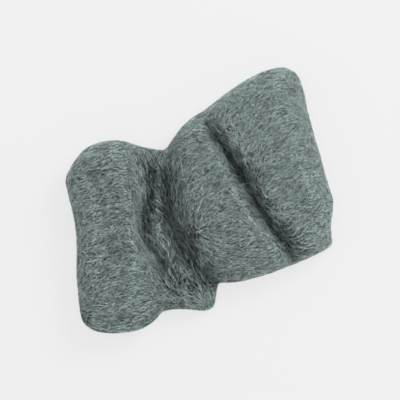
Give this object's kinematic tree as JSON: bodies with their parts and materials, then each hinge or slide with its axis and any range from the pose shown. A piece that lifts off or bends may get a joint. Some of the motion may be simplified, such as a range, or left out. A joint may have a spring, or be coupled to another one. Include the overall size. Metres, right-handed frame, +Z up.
{
  "type": "steel wool",
  "caption": "Soft pad of matted fine steel fibre: a ribbon bunched into plump lobes with deep creases between them, for scouring and smoothing surfaces by hand.",
  "frame": {"origin": "middle of the pad's box in plan, on the surface that the pad lies on", "axes": "+X along the ribbon that the pad is made of, which is the way most of its fibres run, and +Z up, out of the lobes"},
  "size_m": [0.1472, 0.0992, 0.0309],
  "materials": {
    "steel_fibre": "satin grey matted fine steel fibres, soft and fuzzy"
  },
  "bodies": {
    "root": {"steel_wool_pad": "steel_fibre"}
  },
  "joints": []
}
